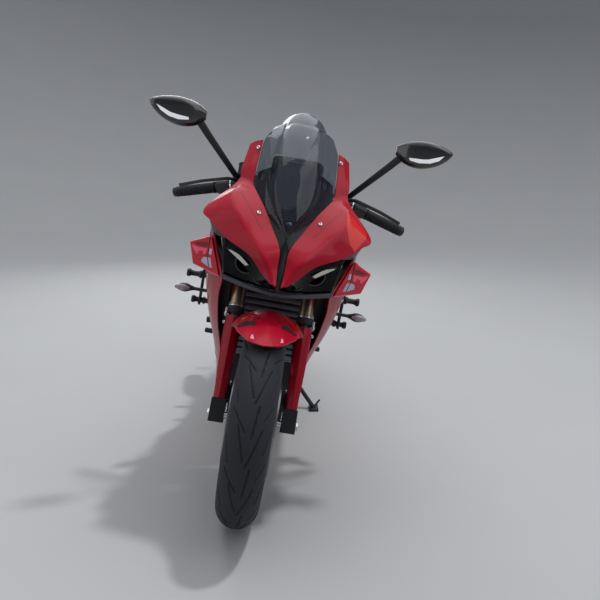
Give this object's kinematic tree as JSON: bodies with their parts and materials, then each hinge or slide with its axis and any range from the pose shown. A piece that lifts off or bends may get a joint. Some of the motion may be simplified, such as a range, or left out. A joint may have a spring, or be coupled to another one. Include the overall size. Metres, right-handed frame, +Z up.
{
  "type": "sport motorcycle on its side stand",
  "caption": "Fully faired sport motorcycle with turning wheels and steering, leaning on a side stand that folds away.",
  "frame": {"origin": "on the ground under the middle of the overall box of the parked, leaning motorcycle", "axes": "+Z up, +Y to the rear along the wheelbase, +X to the rider's left, the side to which it leans"},
  "size_m": [0.8996, 2.0016, 1.2214],
  "materials": {
    "tyre": "matte",
    "wheel_enamel": "satin black",
    "disc_steel": "ground",
    "axle_steel": "turned",
    "bronze_anodised": "anodised dark bronze",
    "cast_black": "satin black",
    "grip_rubber": "ribbed",
    "control_black": "satin black",
    "gloss_black": "gloss",
    "gloss_red": "gloss",
    "frame_black": "satin",
    "engine_metal": "cast",
    "radiator_black": "matte",
    "screen_tint": "clear to smoke",
    "dark_plastic": "moulded",
    "lamp_clear": "clear",
    "seat_cover": "grained",
    "lamp_red": "clear red",
    "lamp_smoke": "smoked",
    "spring_red": "gloss",
    "chain_steel": "oiled",
    "exhaust_steel": "brushed"
  },
  "bodies": {
    "chassis": {"rear_axle": "axle_steel", "frame": "frame_black", "engine_block": "engine_metal", "radiator": "radiator_black", "nose_cheeks": "gloss_red", "windscreen": "screen_tint", "nose_band": "dark_plastic", "headlamp_pod": "dark_plastic", "headlamps": "lamp_clear", "instrument_panel": "dark_plastic", "inner_panels": "dark_plastic", "side_fairings": "gloss_red", "winglets": "gloss_red", "fuel_tank": "gloss_red", "rider_seat": "seat_cover", "tail_cowl": "gloss_red", "pillion_seat": "seat_cover", "undertray": "dark_plastic", "airbox": "dark_plastic", "tail_light": "lamp_red", "subframe": "frame_black", "plate_holder": "dark_plastic", "turn_signals": "lamp_smoke", "slider_guards": "control_black", "footrests": "control_black", "foot_pedals": "axle_steel", "rear_hugger": "dark_plastic", "swingarm": "frame_black", "rear_shock": "spring_red", "drive_chain": "chain_steel", "rear_caliper": "cast_black", "exhaust": "exhaust_steel"},
    "steering": {"triple_clamps": "cast_black", "fork_tubes": "bronze_anodised", "fork_lowers": "cast_black", "front_axle": "axle_steel", "front_fender": "gloss_red", "front_calipers": "cast_black", "handlebars": "cast_black", "grips": "grip_rubber", "controls": "control_black", "mirrors": "gloss_black"},
    "front_wheel": {"front_tyre": "tyre", "front_rim": "wheel_enamel", "front_discs": "disc_steel"},
    "rear_wheel": {"rear_tyre": "tyre", "rear_rim": "wheel_enamel", "rear_disc": "disc_steel", "rear_sprocket": "disc_steel"},
    "side_stand": {"side_stand": "frame_black"}
  },
  "joints": [
    {"name": "steering", "type": "hinge", "parent": "chassis", "child": "steering", "pos_m": [-0.14296, -0.67092, 0.28351], "axis": [0.1586, 0.4068, 0.8996], "range_deg": [-23, 27]},
    {"name": "front_wheel_spin", "type": "hinge", "parent": "steering", "child": "front_wheel", "pos_m": [-0.14177, -0.70105, 0.29692], "axis": [0.9867, -0.0319, -0.1596], "continuous": true},
    {"name": "rear_wheel_spin", "type": "hinge", "parent": "chassis", "child": "rear_wheel", "pos_m": [-0.13855, 0.68893, 0.30847], "axis": [0.9848, 0, -0.1736], "continuous": true},
    {"name": "stand_fold", "type": "hinge", "parent": "chassis", "child": "side_stand", "pos_m": [-0.01856, 0.17892, 0.14823], "axis": [0.9553, 0.1977, 0.2199], "range_deg": [0, 100]}
  ]
}
